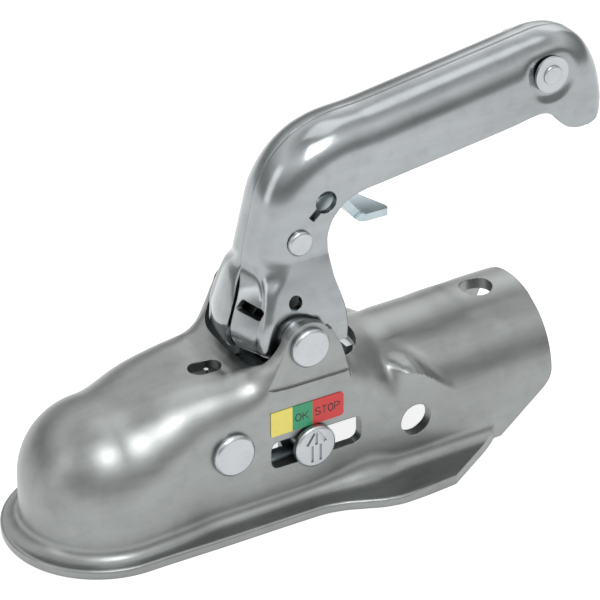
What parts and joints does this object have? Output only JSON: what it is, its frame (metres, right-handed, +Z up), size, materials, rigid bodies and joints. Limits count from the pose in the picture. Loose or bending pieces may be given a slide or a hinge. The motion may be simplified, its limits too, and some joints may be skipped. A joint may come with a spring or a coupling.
{
  "type": "trailer coupling head",
  "caption": "Pressed steel trailer coupling head with ball cup, locking jaw, raised handle with safety catch, wear indicator pin and clamp-type socket for a round drawbar.",
  "frame": {"origin": "centre of the tow ball when coupled, on the axis of the drawbar socket", "axes": "+X along the drawbar towards the trailer, +Y to the right in the direction of travel, +Z up"},
  "size_m": [0.249, 0.0962, 0.1559],
  "materials": {
    "zinc_sheet": "satin",
    "zinc_lever": "satin",
    "zinc_pins": "satin",
    "catch_steel": "satin",
    "spring_steel": "polished",
    "bush_bronze": "satin",
    "jaw_iron": "matte",
    "label_film": "gloss"
  },
  "bodies": {
    "housing": {"housing": "zinc_sheet", "pivot_pin": "zinc_pins", "jaw_pin": "zinc_pins", "pin_rings": "zinc_pins", "pivot_washers": "zinc_pins", "position_label": "label_film", "spring_plate": "zinc_pins", "jaw_spring": "spring_steel", "pressure_spring": "spring_steel"},
    "handle": {"lever_left": "zinc_lever", "lever_right": "zinc_lever", "lever_rivet": "zinc_pins", "neck_spacer": "zinc_pins", "tip_rivet": "zinc_pins", "tip_washers": "zinc_pins", "tip_spacer": "zinc_pins", "pivot_bush": "bush_bronze", "cam_plate": "catch_steel", "catch_spring": "spring_steel"},
    "catch": {"safety_catch": "catch_steel"},
    "slide": {"slide_block": "catch_steel", "slide_rods": "catch_steel", "indicator_pin": "zinc_pins", "indicator_clip": "zinc_pins"},
    "jaw": {"jaw": "jaw_iron", "jaw_bush": "bush_bronze"}
  },
  "joints": [
    {"name": "handle_pivot", "type": "hinge", "parent": "housing", "child": "handle", "pos_m": [0.073, 0, 0.0458], "axis": [0, 1, 0], "range_deg": [0, 28]},
    {"name": "catch_pivot", "type": "hinge", "parent": "handle", "child": "catch", "pos_m": [0.0766, 0, 0.082], "axis": [0, -1, 0], "range_deg": [0, 10], "stiffness_Nm_per_rad": 0.2, "springref_deg": -8.59},
    {"name": "slide_travel", "type": "slide", "parent": "housing", "child": "slide", "axis": [-1, 0, 0], "range_m": [0, 0.0091]},
    {"name": "jaw_swing", "type": "hinge", "parent": "housing", "child": "jaw", "pos_m": [0.04, 0, 0.0109], "axis": [0, 1, 0], "range_deg": [0, 12]}
  ],
  "couplings": [
    {"joint": "slide_travel", "follows": "handle_pivot", "m_per_rad": 0.0184},
    {"joint": "jaw_swing", "follows": "handle_pivot", "ratio": 0.42}
  ]
}
